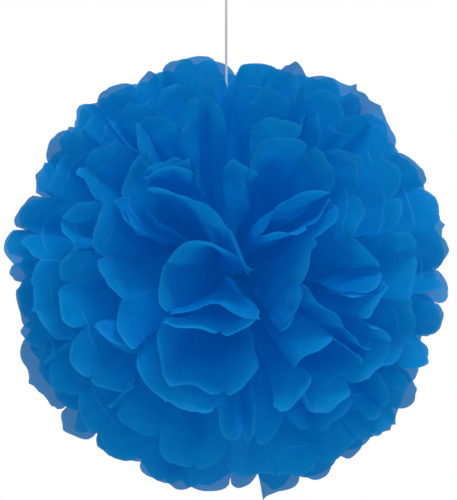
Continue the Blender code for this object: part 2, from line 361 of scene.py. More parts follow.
def axis_frame():
    """Right, up and outward directions of the flower in the world."""
    yaw = math.radians(TURN_RIGHT)
    pitch = math.radians(TURN_UP)
    right = np.array([math.cos(yaw), math.sin(yaw), 0.0])
    level = np.array([math.sin(yaw), -math.cos(yaw), 0.0])
    out = level * math.cos(pitch) + np.array([0.0, 0.0, math.sin(pitch)])
    up = -level * math.sin(pitch) + np.array([0.0, 0.0, math.cos(pitch)])
    return np.array([right, up, out])


FRAME = axis_frame()

# The knot stands on the wire, and the ball's middle is set so that the knot hangs under the loop
KNOT_HEIGHT = WIRE_LOOP + WIRE_RADIUS + PIECE_GAP + KNOT_RADIUS
CENTRE = np.array([0.0, 0.0, -CENTRE_DROP]) - FRAME[1] * np.array([1.0, 1.0, 0.0]) * KNOT_HEIGHT


def to_world(points):
    """Points that are given right, up and out from the flower's middle, in the world."""
    return np.asarray(points) @ FRAME + CENTRE


# Shader groups: how fine their patterns are, for each metre, and how strong
FIBRE_STRETCH = (0.25, 1.0, 1.0)
CLOUDS_TO_FIBRES = 0.06
CREASE_BENDS_PER_METRE = 25.0
CREASE_BEND = 0.03
CREASE_PATCHES_PER_METRE = 18.0
CREASE_PATCH_EDGE = (0.48, 0.62)
CREASE_HEIGHT = 0.12
SWELLS_PER_METRE = 45.0
FOLD_PATCHES_PER_METRE = 22.0
FOLD_PATCH_EDGE = (0.0, 0.12)


def new_group(name, inputs, outputs):
    """An empty shader group with named inputs and outputs."""
    group = bpy.data.node_groups.new(name, "ShaderNodeTree")
    for label, kind, value in inputs:
        socket = group.interface.new_socket(label, in_out="INPUT", socket_type=kind)
        if value is not None:
            socket.default_value = value
    for label, kind in outputs:
        group.interface.new_socket(label, in_out="OUTPUT", socket_type=kind)
    entry = group.nodes.new("NodeGroupInput")
    leave = group.nodes.new("NodeGroupOutput")
    return group, entry.outputs, leave.inputs


def math_node(tree, operation, first, second=None, third=None):
    node = tree.nodes.new("ShaderNodeMath")
    node.operation = operation
    for socket, value in zip(node.inputs, (first, second, third)):
        if isinstance(value, (int, float)):
            socket.default_value = value
        elif value is not None:
            tree.links.new(value, socket)
    return node.outputs[0]


def range_node(tree, value, low, high, to_low, to_high):
    node = tree.nodes.new("ShaderNodeMapRange")
    node.interpolation_type = "SMOOTHSTEP"
    tree.links.new(value, node.inputs["Value"])
    node.inputs["From Min"].default_value = low
    node.inputs["From Max"].default_value = high
    node.inputs["To Min"].default_value = to_low
    node.inputs["To Max"].default_value = to_high
    return node.outputs["Result"]


def noise_node(tree, vector, scale, detail, roughness=0.5, distortion=0.0):
    node = tree.nodes.new("ShaderNodeTexNoise")
    tree.links.new(vector, node.inputs["Vector"])
    if isinstance(scale, (int, float)):
        node.inputs["Scale"].default_value = scale
    else:
        tree.links.new(scale, node.inputs["Scale"])
    node.inputs["Detail"].default_value = detail
    node.inputs["Roughness"].default_value = roughness
    node.inputs["Distortion"].default_value = distortion
    return node.outputs["Fac"]


def line_mask(tree, distance, width):
    """One on a line, falling softly to nothing at its width."""
    node = tree.nodes.new("ShaderNodeMapRange")
    node.interpolation_type = "SMOOTHSTEP"
    tree.links.new(distance, node.inputs["Value"])
    tree.links.new(width, node.inputs["From Max"])
    node.inputs["To Min"].default_value = 1.0
    node.inputs["To Max"].default_value = 0.0
    return node.outputs["Result"]


def fibre_group():
    """Short felted fibres: a height and a faint light and dark mask."""
    group, given, result = new_group(
        "fibre_grain",
        [
            ("Vector", "NodeSocketVector", None),
            ("Fibres per Metre", "NodeSocketFloat", 700.0),
            ("Cloudiness", "NodeSocketFloat", 0.5),
        ],
        [("Height", "NodeSocketFloat"), ("Mask", "NodeSocketFloat")],
    )
    stretch = group.nodes.new("ShaderNodeMapping")
    stretch.inputs["Scale"].default_value = FIBRE_STRETCH
    group.links.new(given["Vector"], stretch.inputs["Vector"])
    fine = given["Fibres per Metre"]
    grain = noise_node(group, stretch.outputs[0], fine, detail=2.0, roughness=0.6, distortion=0.6)
    wide = math_node(group, "MULTIPLY", fine, CLOUDS_TO_FIBRES)
    cloud = noise_node(group, given["Vector"], wide, detail=2.0)
    share = math_node(group, "MULTIPLY", cloud, given["Cloudiness"])
    rest = math_node(group, "SUBTRACT", 1.0, given["Cloudiness"])
    mask = math_node(group, "MULTIPLY_ADD", grain, rest, share)
    group.links.new(grain, result["Height"])
    group.links.new(mask, result["Mask"])
    return group


def crease_group():
    """The fine net of creases that handling leaves in thin paper."""
    group, given, result = new_group(
        "handling_creases",
        [
            ("Vector", "NodeSocketVector", None),
            ("Facets per Metre", "NodeSocketFloat", 60.0),
            ("Line Width", "NodeSocketFloat", 0.09),
        ],
        [("Height", "NodeSocketFloat"), ("Crease", "NodeSocketFloat")],
    )
    bend = group.nodes.new("ShaderNodeTexNoise")
    bend.inputs["Scale"].default_value = CREASE_BENDS_PER_METRE
    group.links.new(given["Vector"], bend.inputs["Vector"])
    shift = group.nodes.new("ShaderNodeVectorMath")
    shift.operation = "MULTIPLY_ADD"
    shift.inputs[1].default_value = (CREASE_BEND, CREASE_BEND, CREASE_BEND)
    group.links.new(bend.outputs["Color"], shift.inputs[0])
    group.links.new(given["Vector"], shift.inputs[2])
    cells = group.nodes.new("ShaderNodeTexVoronoi")
    cells.feature = "DISTANCE_TO_EDGE"
    group.links.new(shift.outputs[0], cells.inputs["Vector"])
    group.links.new(given["Facets per Metre"], cells.inputs["Scale"])
    line = line_mask(group, cells.outputs["Distance"], given["Line Width"])
    patches = noise_node(group, given["Vector"], CREASE_PATCHES_PER_METRE, detail=2.0)
    where = range_node(group, patches, *CREASE_PATCH_EDGE, 0.0, 1.0)
    crease = math_node(group, "MULTIPLY", line, where)
    swells = noise_node(group, given["Vector"], SWELLS_PER_METRE, detail=3.0, roughness=0.55)
    height = math_node(group, "MULTIPLY_ADD", crease, CREASE_HEIGHT, swells)
    group.links.new(height, result["Height"])
    group.links.new(crease, result["Crease"])
    return group


def fold_group():
    """Straight fold lines a set distance apart along X, worn away in places."""
    group, given, result = new_group(
        "straight_folds",
        [
            ("Vector", "NodeSocketVector", None),
            ("Spacing", "NodeSocketFloat", 0.05),
            ("First Line", "NodeSocketFloat", 0.0),
            ("Line Width", "NodeSocketFloat", 0.001),
            ("Worn Away", "NodeSocketFloat", 0.5),
        ],
        [("Line", "NodeSocketFloat")],
    )
    split = group.nodes.new("ShaderNodeSeparateXYZ")
    group.links.new(given["Vector"], split.inputs[0])
    moved = math_node(group, "SUBTRACT", split.outputs["X"], given["First Line"])
    half_way = math_node(group, "MULTIPLY", given["Spacing"], 0.5)
    apart = math_node(group, "PINGPONG", moved, half_way)
    line = line_mask(group, apart, given["Line Width"])
    patches = noise_node(group, given["Vector"], FOLD_PATCHES_PER_METRE, detail=2.0)
    kept = math_node(group, "SUBTRACT", patches, given["Worn Away"])
    share = range_node(group, kept, *FOLD_PATCH_EDGE, 0.0, 1.0)
    group.links.new(math_node(group, "MULTIPLY", line, share), result["Line"])
    return group


FIBRES = fibre_group()
CREASES = crease_group()
FOLDS = fold_group()


def place_group(tree, group, vector, **values):
    """A shader group in a material, with the material's own values for its inputs."""
    node = tree.nodes.new("ShaderNodeGroup")
    node.node_tree = group
    tree.links.new(vector, node.inputs["Vector"])
    for label, value in values.items():
        node.inputs[label.replace("_", " ")].default_value = value
    return node.outputs


def mix_colour(tree, share, first, second):
    """A colour between two others, each a constant or a socket, by the share of the second."""
    node = tree.nodes.new("ShaderNodeMix")
    node.data_type = "RGBA"
    tree.links.new(share, node.inputs[0])
    for socket, value in ((node.inputs[6], first), (node.inputs[7], second)):
        if isinstance(value, tuple):
            socket.default_value = (*value, 1.0)
        else:
            tree.links.new(value, socket)
    return node.outputs[2]


def bump(tree, height, distance, strength):
    node = tree.nodes.new("ShaderNodeBump")
    node.inputs["Distance"].default_value = distance
    node.inputs["Strength"].default_value = strength
    tree.links.new(height, node.inputs["Height"])
    return node.outputs[0]


def new_material(name):
    made = bpy.data.materials.new(name)
    made.use_nodes = True
    tree = made.node_tree
    return made, tree, tree.nodes["Principled BSDF"]


# Materials: the part of the fibres' mask that shows as light and dark
MASK_RANGE = (0.3, 0.7)

# The paper: its face, the painted highlight on its fold lines, creases and cut edges, the light
# that comes through it, a painted glow that stands in for the light that goes to and fro between
# ten layers, and the pores between its fibres
PAPER_MAIN = (0.0, 0.27, 0.71)
PAPER_DEEP = (0.0, 0.245, 0.66)
PAPER_LIGHT = (0.0, 0.29, 0.75)
PAPER_PAINTED_HIGHLIGHT = (0.06, 0.47, 0.93)
PAPER_ROUGHNESS = (0.78, 0.66)
PAPER_SHINE = 0.1
PAPER_BUMP = (0.0022, 0.6)
FIBRE_RELIEF = 0.12
FOLD_RELIEF = 0.12
CREASE_SHOW = 0.12
FOLD_SHOW = 0.7
EDGE_SHOW = 0.4
GLOW_DEEP = (0.0, 0.38, 0.80)
GLOW_LIGHT = (0.01, 0.44, 0.87)
THROUGH_SHARE = 0.44
# Painted glow: a faint blue light that the paper gives off itself
PAINTED_GLOW = (0.0, 0.38, 0.74)
PAINTED_GLOW_STRENGTH = 0.128
PORE_SHARE = 0.045

# The folds of the packet cross each half of the sheet this far from the tie
PACKET_FOLD = 0.172

STRING_SHADE = (0.78, 0.775, 0.77)
STRING_WHITE = (0.92, 0.915, 0.91)
STRING_ROUGHNESS = (0.9, 0.75)
STRING_BUMP = (0.0002, 0.6)
STRING_SHEEN = 0.3

WIRE_LACQUER = (0.085, 0.05, 0.03)
WIRE_DUST = (0.20, 0.13, 0.085)
WIRE_DUST_RANGE = (0.5, 0.68)
WIRE_ROUGH_RANGE = (0.4, 0.7)
WIRE_ROUGHNESS = (0.35, 0.6)
WIRE_METAL = 0.5
WIRE_BUMP = (0.00015, 0.5)

FLOOR_GREY = (0.86, 0.87, 0.88)
FLOOR_WHITE = (0.9, 0.9, 0.9)
FLOOR_CLOUDS_PER_METRE = 2.0
FLOOR_ROUGHNESS = 0.9


def tissue_paper():
    """Blue tissue: matt on its face, with light that comes through from the far side."""
    made, tree, shader = new_material("blue_tissue_paper")
    where = tree.nodes.new("ShaderNodeUVMap")
    where.uv_map = "sheet"
    flat = where.outputs["UV"]
    fibre = place_group(tree, FIBRES, flat, Fibres_per_Metre=900.0, Cloudiness=0.6)
    crease = place_group(tree, CREASES, flat, Facets_per_Metre=42.0, Line_Width=0.05)
    edge = tree.nodes.new("ShaderNodeAttribute")
    edge.attribute_name = "cut_edge"
    tone = tree.nodes.new("ShaderNodeAttribute")
    tone.attribute_name = "petal_tone"
    cloudy = range_node(tree, fibre["Mask"], *MASK_RANGE, 0.0, 1.0)
    face = mix_colour(tree, cloudy, PAPER_DEEP, PAPER_MAIN)
    petal = mix_colour(tree, tone.outputs["Fac"], face, PAPER_LIGHT)
    pleats = place_group(
        tree, FOLDS, flat,
        Spacing=SHEET_WIDTH / PANELS, First_Line=0.0, Line_Width=0.0009, Worn_Away=0.50,
    )
    turned = tree.nodes.new("ShaderNodeMapping")
    turned.inputs["Rotation"].default_value = (0.0, 0.0, math.pi / 2)
    tree.links.new(flat, turned.inputs["Vector"])
    packet = place_group(
        tree, FOLDS, turned.outputs[0],
        Spacing=2 * PACKET_FOLD, First_Line=PACKET_FOLD, Line_Width=0.0014, Worn_Away=0.44,
    )
    lines = math_node(tree, "MAXIMUM", pleats["Line"], packet["Line"])
    handled = math_node(tree, "MULTIPLY", crease["Crease"], CREASE_SHOW)
    # Painted highlight: fold lines and handling creases are mixed towards a paler blue, as if light
    # caught the creases
    worn = math_node(tree, "MULTIPLY_ADD", lines, FOLD_SHOW, handled)
    creased = mix_colour(tree, worn, petal, PAPER_PAINTED_HIGHLIGHT)
    # Painted highlight: the paper near the cut edge is mixed towards the same paler blue, as if
    # light shone through the thin edge
    cut = math_node(tree, "MULTIPLY", edge.outputs["Fac"], EDGE_SHOW)
    edged = mix_colour(tree, cut, creased, PAPER_PAINTED_HIGHLIGHT)
    tree.links.new(edged, shader.inputs["Base Color"])
    rough = range_node(tree, fibre["Mask"], *MASK_RANGE, *PAPER_ROUGHNESS)
    tree.links.new(rough, shader.inputs["Roughness"])
    shader.inputs["Specular IOR Level"].default_value = PAPER_SHINE
    # Painted glow: the paper gives off a faint blue light of its own, in place of the light that
    # goes to and fro between the layers
    shader.inputs["Emission Color"].default_value = (*PAINTED_GLOW, 1.0)
    shader.inputs["Emission Strength"].default_value = PAINTED_GLOW_STRENGTH
    height = math_node(tree, "MULTIPLY_ADD", fibre["Height"], FIBRE_RELIEF, crease["Height"])
    height = math_node(tree, "MULTIPLY_ADD", lines, FOLD_RELIEF, height)
    normal = bump(tree, height, *PAPER_BUMP)
    tree.links.new(normal, shader.inputs["Normal"])
    through = tree.nodes.new("ShaderNodeBsdfTranslucent")
    glow = mix_colour(tree, cloudy, GLOW_DEEP, GLOW_LIGHT)
    tree.links.new(glow, through.inputs["Color"])
    tree.links.new(normal, through.inputs["Normal"])
    blend = tree.nodes.new("ShaderNodeMixShader")
    blend.inputs[0].default_value = THROUGH_SHARE
    tree.links.new(shader.outputs[0], blend.inputs[1])
    tree.links.new(through.outputs[0], blend.inputs[2])
    pores = tree.nodes.new("ShaderNodeBsdfTransparent")
    open_blend = tree.nodes.new("ShaderNodeMixShader")
    open_blend.inputs[0].default_value = PORE_SHARE
    tree.links.new(blend.outputs[0], open_blend.inputs[1])
    tree.links.new(pores.outputs[0], open_blend.inputs[2])
    tree.links.new(open_blend.outputs[0], tree.nodes["Material Output"].inputs["Surface"])
    # The pores show what lies behind the paper, but its shadows stay whole
    made.use_transparent_shadow = False
    return made


def spun_string():
    """White cotton plies, a little greyer in patches among their fibres."""
    made, tree, shader = new_material("white_string")
    where = tree.nodes.new("ShaderNodeTexCoord").outputs["Object"]
    fibre = place_group(tree, FIBRES, where, Fibres_per_Metre=5200.0, Cloudiness=0.35)
    tint = range_node(tree, fibre["Mask"], *MASK_RANGE, 0.0, 1.0)
    colour = mix_colour(tree, tint, STRING_SHADE, STRING_WHITE)
    tree.links.new(colour, shader.inputs["Base Color"])
    rough = range_node(tree, fibre["Mask"], *MASK_RANGE, *STRING_ROUGHNESS)
    tree.links.new(rough, shader.inputs["Roughness"])
    tree.links.new(bump(tree, fibre["Height"], *STRING_BUMP), shader.inputs["Normal"])
    shader.inputs["Sheen Weight"].default_value = STRING_SHEEN
    return made


def coated_wire():
    """Brown lacquered wire with small worn and dusty marks."""
    made, tree, shader = new_material("brown_tie_wire")
    where = tree.nodes.new("ShaderNodeTexCoord").outputs["Object"]
    fibre = place_group(tree, FIBRES, where, Fibres_per_Metre=3000.0, Cloudiness=0.8)
    worn = range_node(tree, fibre["Mask"], *WIRE_DUST_RANGE, 0.0, 1.0)
    colour = mix_colour(tree, worn, WIRE_LACQUER, WIRE_DUST)
    tree.links.new(colour, shader.inputs["Base Color"])
    rough = range_node(tree, fibre["Mask"], *WIRE_ROUGH_RANGE, *WIRE_ROUGHNESS)
    tree.links.new(rough, shader.inputs["Roughness"])
    shader.inputs["Metallic"].default_value = WIRE_METAL
    tree.links.new(bump(tree, fibre["Height"], *WIRE_BUMP), shader.inputs["Normal"])
    return made


def pale_floor():
    """The studio's floor, white with faint grey clouds."""
    made, tree, shader = new_material("pale_floor")
    where = tree.nodes.new("ShaderNodeTexCoord").outputs["Object"]
    cloud = noise_node(tree, where, FLOOR_CLOUDS_PER_METRE, detail=3.0)
    tint = range_node(tree, cloud, *MASK_RANGE, 0.0, 1.0)
    tree.links.new(mix_colour(tree, tint, FLOOR_GREY, FLOOR_WHITE), shader.inputs["Base Color"])
    shader.inputs["Roughness"].default_value = FLOOR_ROUGHNESS
    return made


PAPER = tissue_paper()
STRING = spun_string()
WIRE = coated_wire()


# Camera, at the photograph's angle

def add_camera():
    lens = bpy.data.cameras.new("photo_camera")
    lens.sensor_width = SENSOR
    lens.sensor_fit = "HORIZONTAL"
    lens.lens = SENSOR * VIEW_DISTANCE / VIEW_WIDTH
    lens.shift_y = (BALL_MIDDLE_ROW - IMAGE_HEIGHT / 2) / IMAGE_WIDTH
    lens.clip_end = VIEW_END
    made = bpy.data.objects.new("photo_camera", lens)
    bpy.context.scene.collection.objects.link(made)
    made.location = (VIEW_MIDDLE[0], -VIEW_DISTANCE, VIEW_MIDDLE[2])
    made.rotation_euler = (math.pi / 2, 0.0, 0.0)
    bpy.context.scene.camera = made


add_camera()


# String, knots and wire

def ply_tree():
    """Node tree of plies that wind round a path, and its sockets: several strands, or one."""
    tree = bpy.data.node_groups.new("twisted_plies", "GeometryNodeTree")
    sockets = {}
    for label, kind in (
        ("Geometry", "NodeSocketGeometry"),
        ("Plies", "NodeSocketInt"),
        ("Ply Radius", "NodeSocketFloat"),
        ("Lay Radius", "NodeSocketFloat"),
        ("Turns", "NodeSocketFloat"),
        ("Rings", "NodeSocketInt"),
        ("Sides", "NodeSocketInt"),
        ("Material", "NodeSocketMaterial"),
    ):
        socket = tree.interface.new_socket(label, in_out="INPUT", socket_type=kind)
        sockets[label] = socket.identifier
    tree.interface.new_socket("Geometry", in_out="OUTPUT", socket_type="NodeSocketGeometry")
    given = tree.nodes.new("NodeGroupInput").outputs
    result = tree.nodes.new("NodeGroupOutput").inputs

    def joined(kind, **links):
        node = tree.nodes.new(kind)
        for label, value in links.items():
            tree.links.new(value, node.inputs[label.replace("_", " ")])
        return node

    def scaled(vector, amount):
        node = tree.nodes.new("ShaderNodeVectorMath")
        node.operation = "SCALE"
        tree.links.new(vector, node.inputs[0])
        tree.links.new(amount, node.inputs["Scale"])
        return node.outputs[0]

    even = joined("GeometryNodeResampleCurve", Curve=given["Geometry"], Count=given["Rings"])
    copies = tree.nodes.new("GeometryNodeDuplicateElements")
    copies.domain = "SPLINE"
    tree.links.new(even.outputs[0], copies.inputs["Geometry"])
    tree.links.new(given["Plies"], copies.inputs["Amount"])
    along = tree.nodes.new("GeometryNodeSplineParameter").outputs["Factor"]
    turns = math_node(tree, "MULTIPLY", along, given["Turns"])
    turned = math_node(tree, "MULTIPLY", turns, 2 * math.pi)
    apart = math_node(tree, "DIVIDE", 2 * math.pi, given["Plies"])
    phase = math_node(tree, "MULTIPLY", copies.outputs["Duplicate Index"], apart)
    angle = math_node(tree, "ADD", turned, phase)
    normal = tree.nodes.new("GeometryNodeInputNormal").outputs[0]
    tangent = tree.nodes.new("GeometryNodeInputTangent").outputs[0]
    cross = tree.nodes.new("ShaderNodeVectorMath")
    cross.operation = "CROSS_PRODUCT"
    tree.links.new(tangent, cross.inputs[0])
    tree.links.new(normal, cross.inputs[1])
    east = math_node(tree, "MULTIPLY", math_node(tree, "COSINE", angle), given["Lay Radius"])
    north = math_node(tree, "MULTIPLY", math_node(tree, "SINE", angle), given["Lay Radius"])
    offset = tree.nodes.new("ShaderNodeVectorMath")
    offset.operation = "ADD"
    tree.links.new(scaled(normal, east), offset.inputs[0])
    tree.links.new(scaled(cross.outputs[0], north), offset.inputs[1])
    wound = joined(
        "GeometryNodeSetPosition", Geometry=copies.outputs["Geometry"], Offset=offset.outputs[0],
    )
    ring = joined(
        "GeometryNodeCurvePrimitiveCircle", Resolution=given["Sides"], Radius=given["Ply Radius"],
    )
    tube = joined("GeometryNodeCurveToMesh", Curve=wound.outputs[0], Profile_Curve=ring.outputs[0])
    tube.inputs["Fill Caps"].default_value = True
    soft = joined("GeometryNodeSetShadeSmooth", Geometry=tube.outputs[0])
    real = joined("GeometryNodeRealizeInstances", Geometry=soft.outputs[0])
    surface = given["Material"]
    finish = joined("GeometryNodeSetMaterial", Geometry=real.outputs[0], Material=surface)
    tree.links.new(finish.outputs[0], result["Geometry"])
    return tree, sockets


PLIES, PLY_SOCKETS = ply_tree()


def add_thread(name, path, surface, plies, ply_radius, lay_radius, turns, rings, sides):
    """A thread along a path, wound by the node tree and turned into a plain mesh."""
    line = bpy.data.curves.new(name + "_path", "CURVE")
    line.dimensions = "3D"
    spline = line.splines.new("POLY")
    spline.points.add(len(path) - 1)
    for point, spot in zip(spline.points, path):
        point.co = (*[float(c) for c in spot], 1.0)
    guide = bpy.data.objects.new(name + "_path", line)
    bpy.context.scene.collection.objects.link(guide)
    wind = guide.modifiers.new("plies", "NODES")
    wind.node_group = PLIES
    for label, value in (
        ("Plies", plies),
        ("Ply Radius", ply_radius),
        ("Lay Radius", lay_radius),
        ("Turns", float(turns)),
        ("Rings", rings),
        ("Sides", sides),
        ("Material", surface),
    ):
        wind[PLY_SOCKETS[label]] = value
    wound = guide.evaluated_get(bpy.context.evaluated_depsgraph_get())
    mesh = bpy.data.meshes.new_from_object(wound)
    mesh.name = name
    made = bpy.data.objects.new(name, mesh)
    bpy.context.scene.collection.objects.link(made)
    bpy.data.objects.remove(guide, do_unlink=True)
    bpy.data.curves.remove(line)
    return made


def settle(piece, slot, *nodes):
    """Put a finished piece on the one body and hide the nodes that it stands for; its slot is not
    used.
    """
    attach(piece, "root")
    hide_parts(*nodes)


def string_line():
    """The string's route: straight up from the knot on the wire to its upper knot."""
    low = to_world([0.0, KNOT_HEIGHT, 0.0])[2] + KNOT_RADIUS + PIECE_GAP
    high = -LOOP_HEIGHT - 2 * KNOT_RADIUS - PIECE_GAP
    count = 2 + int((high - low) / ROUTE_SPACING)
    return [(0.0, 0.0, low + (high - low) * i / (count - 1)) for i in range(count)]


def loop_line():
    """The loop's route: up one side of a drop and down the other."""
    path = []
    for i in range(LOOP_POINTS + 1):
        turn = math.pi * i / LOOP_POINTS
        wide = LOOP_WIDTH / 2 * LOOP_FULLNESS * math.sin(2 * turn) * math.sin(turn)
        apart = (STRING_RADIUS + PIECE_GAP / 2) * math.cos(turn)
        path.append((-wide - apart, 0.0, -LOOP_HEIGHT + LOOP_HEIGHT * math.sin(turn) ** 2))
    return path


def knot_line(centre):
    """A strand that crosses itself three times: a small tight knot."""
    turns = np.linspace(0.0, 2 * math.pi, KNOT_POINTS)
    around = KNOT_RADIUS - KNOT_STRAND
    out = around * (1.0 - KNOT_SPREAD + KNOT_SPREAD * np.cos(3 * turns))
    strand = [out * np.cos(2 * turns), out * np.sin(2 * turns), around * np.sin(3 * turns)]
    return np.stack(strand, -1) + centre


def wire_line():
    """Both ends twisted into a tail in front, and the loop round the neck between them."""
    turn_radius = WIRE_RADIUS + PIECE_GAP / 3
    steps = WIRE_TWIST_POINTS * WIRE_TWISTS
    start = WIRE_LOOP + WIRE_TAIL_START
    tail = [
        (i / steps * WIRE_TAIL + start, 2 * math.pi * WIRE_TWISTS * i / steps)
        for i in range(steps + 1)
    ]
    path = [
        (turn_radius * math.sin(angle), turn_radius * math.cos(angle), out)
        for out, angle in reversed(tail)
    ]
    for i in range(1, WIRE_LOOP_POINTS):
        angle = 2 * math.pi * i / WIRE_LOOP_POINTS
        x = math.sin(angle)
        z = math.cos(angle)
        size = WIRE_LOOP / (x**WIRE_SQUARENESS + z**WIRE_SQUARENESS) ** (1 / WIRE_SQUARENESS)
        path.append((0.0, size * x, size * z))
    path += [
        (-turn_radius * math.sin(angle), -turn_radius * math.cos(angle), out)
        for out, angle in tail
    ]
    return to_world(path)


ROUTE = string_line()
string_length = ROUTE[-1][2] - ROUTE[0][2]
hanging_string = add_thread(
    "hanging_string_twisted", ROUTE, STRING, PLY_COUNT, PLY_RADIUS, PLY_LAY,
    turns=string_length / TURN_LENGTH, rings=STRING_RINGS, sides=PLY_SIDES,
)
hanging_loop = add_thread(
    "hanging_loop_twisted", loop_line(), STRING, PLY_COUNT, PLY_RADIUS, PLY_LAY,
    turns=LOOP_TURNS, rings=LOOP_RINGS, sides=PLY_SIDES,
)
loop_knot = add_thread(
    "loop_knot_wound", knot_line(np.array([0.0, 0.0, -LOOP_HEIGHT - KNOT_RADIUS])), STRING,
    PLY_COUNT, KNOT_PLY, KNOT_LAY, turns=KNOT_TURNS, rings=KNOT_RINGS, sides=PLY_SIDES,
)
string_knot = add_thread(
    "string_knot_wound", knot_line(to_world([0.0, KNOT_HEIGHT, 0.0])), STRING,
    PLY_COUNT, KNOT_PLY, KNOT_LAY, turns=KNOT_TURNS, rings=KNOT_RINGS, sides=PLY_SIDES,
)
tie_wire = add_thread(
    "tie_wire_twisted", wire_line(), WIRE,
    plies=1, ply_radius=WIRE_RADIUS, lay_radius=0.0, turns=0, rings=WIRE_RINGS, sides=WIRE_SIDES,
)

settle(hanging_string, "white_string", "hanging_string")
settle(hanging_loop, "white_string", "hanging_loop")
settle(loop_knot, "white_string", "loop_knot")
settle(string_knot, "white_string", "string_knot")
settle(tie_wire, "brown_tie_wire", "tie_wire")


# Tissue sheets

def spread_across(stages, half, columns):
    """Directions of every stage at each column: soft curves through the points, lightly creased."""
    points = stages[:, half]
    last = points.shape[1] - 1
    place = np.clip(columns * 2.0, 0.0, last - 1e-6)
    low = place.astype(int)
    part = (place - low)[None, :, None]
    before = points[:, np.clip(low - 1, 0, last)]
    here = points[:, low]
    after = points[:, low + 1]
    beyond = points[:, np.clip(low + 2, 0, last)]
    soft = 0.5 * (
        2.0 * here
        + (after - before) * part
        + (2.0 * before - 5.0 * here + 4.0 * after - beyond) * part**2
        + (3.0 * (here - after) + beyond - before) * part**3
    )
    panel = np.minimum(columns.astype(int), PANELS - 1)
    on = (columns - panel)[None, :, None]
    left = points[:, 2 * panel]
    middle = points[:, 2 * panel + 1]
    right = points[:, 2 * panel + 2]
    creased = left * (1 - on) * (1 - 2 * on) + middle * 4 * on * (1 - on)
    creased = creased + right * on * (2 * on - 1)
    return soft * (1.0 - CREASE_SHARE) + creased * CREASE_SHARE


def between_stages(curves, shares):
    """One direction for every row and column, from the stage that its share has reached."""
    top = len(curves) - 1
    place = top * np.minimum(1.0, FIRST_STAGE + STAGE_RISE * shares)
    low = np.minimum(place.astype(int), top - 1)
    part = (place - low)[..., None]
    column = np.broadcast_to(np.arange(shares.shape[1]), shares.shape)
    return unit(curves[low, column] * (1.0 - part) + curves[low + 1, column] * part)


def cut_line(columns, trims, notch, rng):
    """How far out the cut edge lies: each pleat's end is cut round, a little short or full.

    No two are alike: some lobes lean, and at a few folds a corner of paper is left uncut. Beside
    the parting the top petals are cut back, and the string shows between them.
    """
    panel = np.minimum(columns.astype(int), PANELS - 1)
    powers = rng.uniform(*LOBE_POWERS, PANELS)
    depths = rng.uniform(*LOBE_DEPTHS, PANELS + 1)
    corners = rng.uniform(0.0, 1.0, PANELS + 1) < CORNER_CHANCE
    depths[corners] = CORNER_DEPTH
    skews = np.exp(rng.uniform(-LOBE_SKEW, LOBE_SKEW, PANELS))
    on = (columns - panel) ** skews[panel]
    power = powers[panel]
    round_off = (1.0 - np.minimum(1.0, np.abs(2 * on - 1)) ** power) ** (1 / power)
    depth = SCALLOP_DEPTH * np.interp(columns, np.arange(PANELS + 1), depths)
    beside = np.clip(np.where(on < 0.5, panel - 1, panel + 1), 0, PANELS - 1)
    side = np.abs(2 * on - 1) / 2
    trim = trims[panel] * (1.0 - side) + trims[beside] * side
    ragged = RAGGED_EDGE * np.interp(columns, *ragged_knots(rng))
    depth = depth * (1.0 - round_off) + ragged
    lengths = rng.uniform(0.0, SHORT_LOBES, PANELS) ** 2 / SHORT_LOBES
    lobe = np.interp(columns, np.arange(PANELS) + 0.5, lengths)
    short = lobe + notch * (1.0 - smooth_step(0.0, PARTING_NOTCH_WIDTH, columns))
    return (1.0 - depth / BALL_RADIUS) * (1.0 - trim) * (1.0 - short)


def ragged_knots(rng):
    """Places along the edge and how far the scissors strayed there."""
    count = PANELS * RAGGED_PLACES
    strayed = rng.uniform(*RAGGED_RANGE, count)
    torn = rng.uniform(0.0, 1.0, count) < TORN_CHANCE
    strayed[torn] = rng.uniform(*TORN_BITS, torn.sum())
    return np.linspace(0.0, PANELS, count), strayed


def soft_waves(rng, across, out, count, shortest, longest):
    """A gentle random swell over the sheet, about -1 to 1, from a few long waves."""
    total = np.zeros(across.shape)
    for _ in range(count):
        length = rng.uniform(shortest, longest)
        way = rng.uniform(0.0, 2 * math.pi)
        phase = rng.uniform(0.0, 2 * math.pi)
        run = across * math.cos(way) + out * math.sin(way)
        total += np.sin(2 * math.pi * run / length + phase)
    return total / math.sqrt(count)


def paper_lift(columns, rows, across, reach, rng):
    """How far the paper stands off its smooth form: curls, rolled corners, swells and pleats."""
    panel = np.minimum(columns.astype(int), PANELS - 1)
    curl = rng.uniform(*CURL_RANGE, PANELS)
    neighbours = np.interp(columns, np.arange(PANELS) + 0.5, curl)
    tip = smooth_step(CURL_START, 1.0, rows)[:, None] ** CURL_POWER
    lift = TIP_CURL * tip * neighbours[None, :]
    corner = np.abs(2 * (columns - panel) - 1) ** CORNER_POWER
    roll = rng.uniform(-1.0, 1.0, PANELS + 1)
    fold = np.minimum(np.round(columns).astype(int), PANELS)
    lift = lift + CORNER_ROLL * tip * (corner * roll[fold])[None, :]
    wave = soft_waves(rng, across, reach, EDGE_WAVE_COUNT, *EDGE_WAVE_LENGTHS)
    lift = lift + EDGE_WAVE * smooth_step(EDGE_WAVE_START, 1.0, rows)[:, None] * wave
    swell = soft_waves(rng, across, reach, BODY_WAVE_COUNT, *BODY_WAVE_LENGTHS)
    lift = lift + BODY_WAVE * smooth_step(*BODY_WAVE_RISE, rows)[:, None] * swell
    pleat = np.abs((columns + 1.0) % 2.0 - 1.0) * 2.0 - 1.0
    near = smooth_step(*RIPPLE_RISE, rows) * (1.0 - smooth_step(*RIPPLE_FADE, rows))
    strength = np.interp(columns, np.arange(PANELS + 1), rng.uniform(*RIPPLE_RANGE, PANELS + 1))
    return lift + PLEAT_RIPPLE * near[:, None] * (pleat * strength)[None, :]


